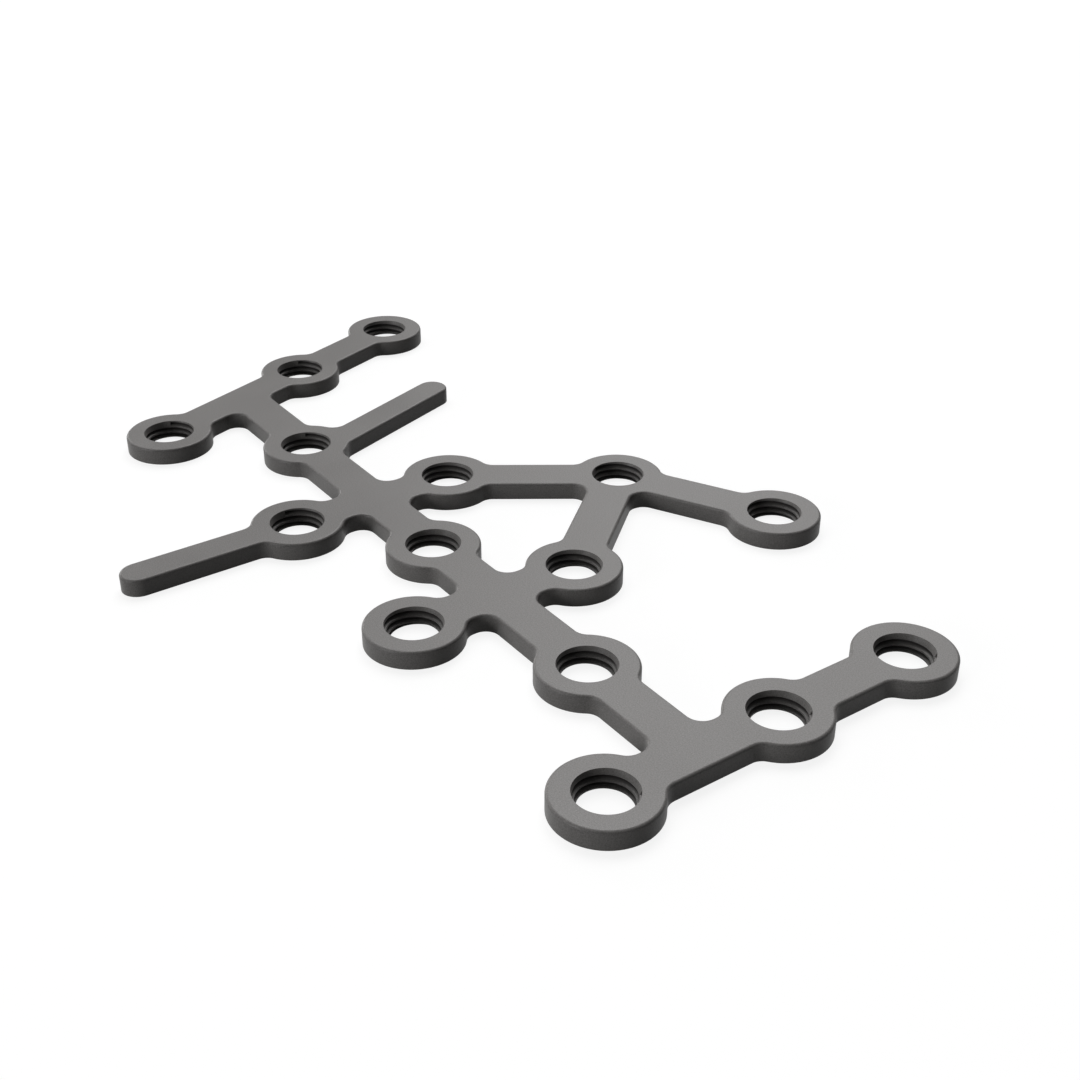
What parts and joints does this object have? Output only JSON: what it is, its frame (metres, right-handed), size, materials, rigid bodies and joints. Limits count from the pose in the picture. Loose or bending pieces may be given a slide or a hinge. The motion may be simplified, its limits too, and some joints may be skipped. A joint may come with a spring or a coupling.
{
  "type": "orthopedic bone plate",
  "caption": "Flat branching locking bone plate: a straight spine, cross bars, an open triangular window, two plain tabs and round rings with threaded screw holes.",
  "frame": {"origin": "axis of the spine's middle screw hole, at the back face that lies on the bone", "axes": "+X along the spine towards the foot bar, +Y towards the window and the arm, +Z out of the bone through the front face"},
  "size_m": [0.0693, 0.0442, 0.0012],
  "materials": {
    "plate": "bead-blasted and anodised titanium, dark warm grey, fine satin grain"
  },
  "bodies": {
    "root": {"bone_plate": "plate"}
  },
  "joints": []
}
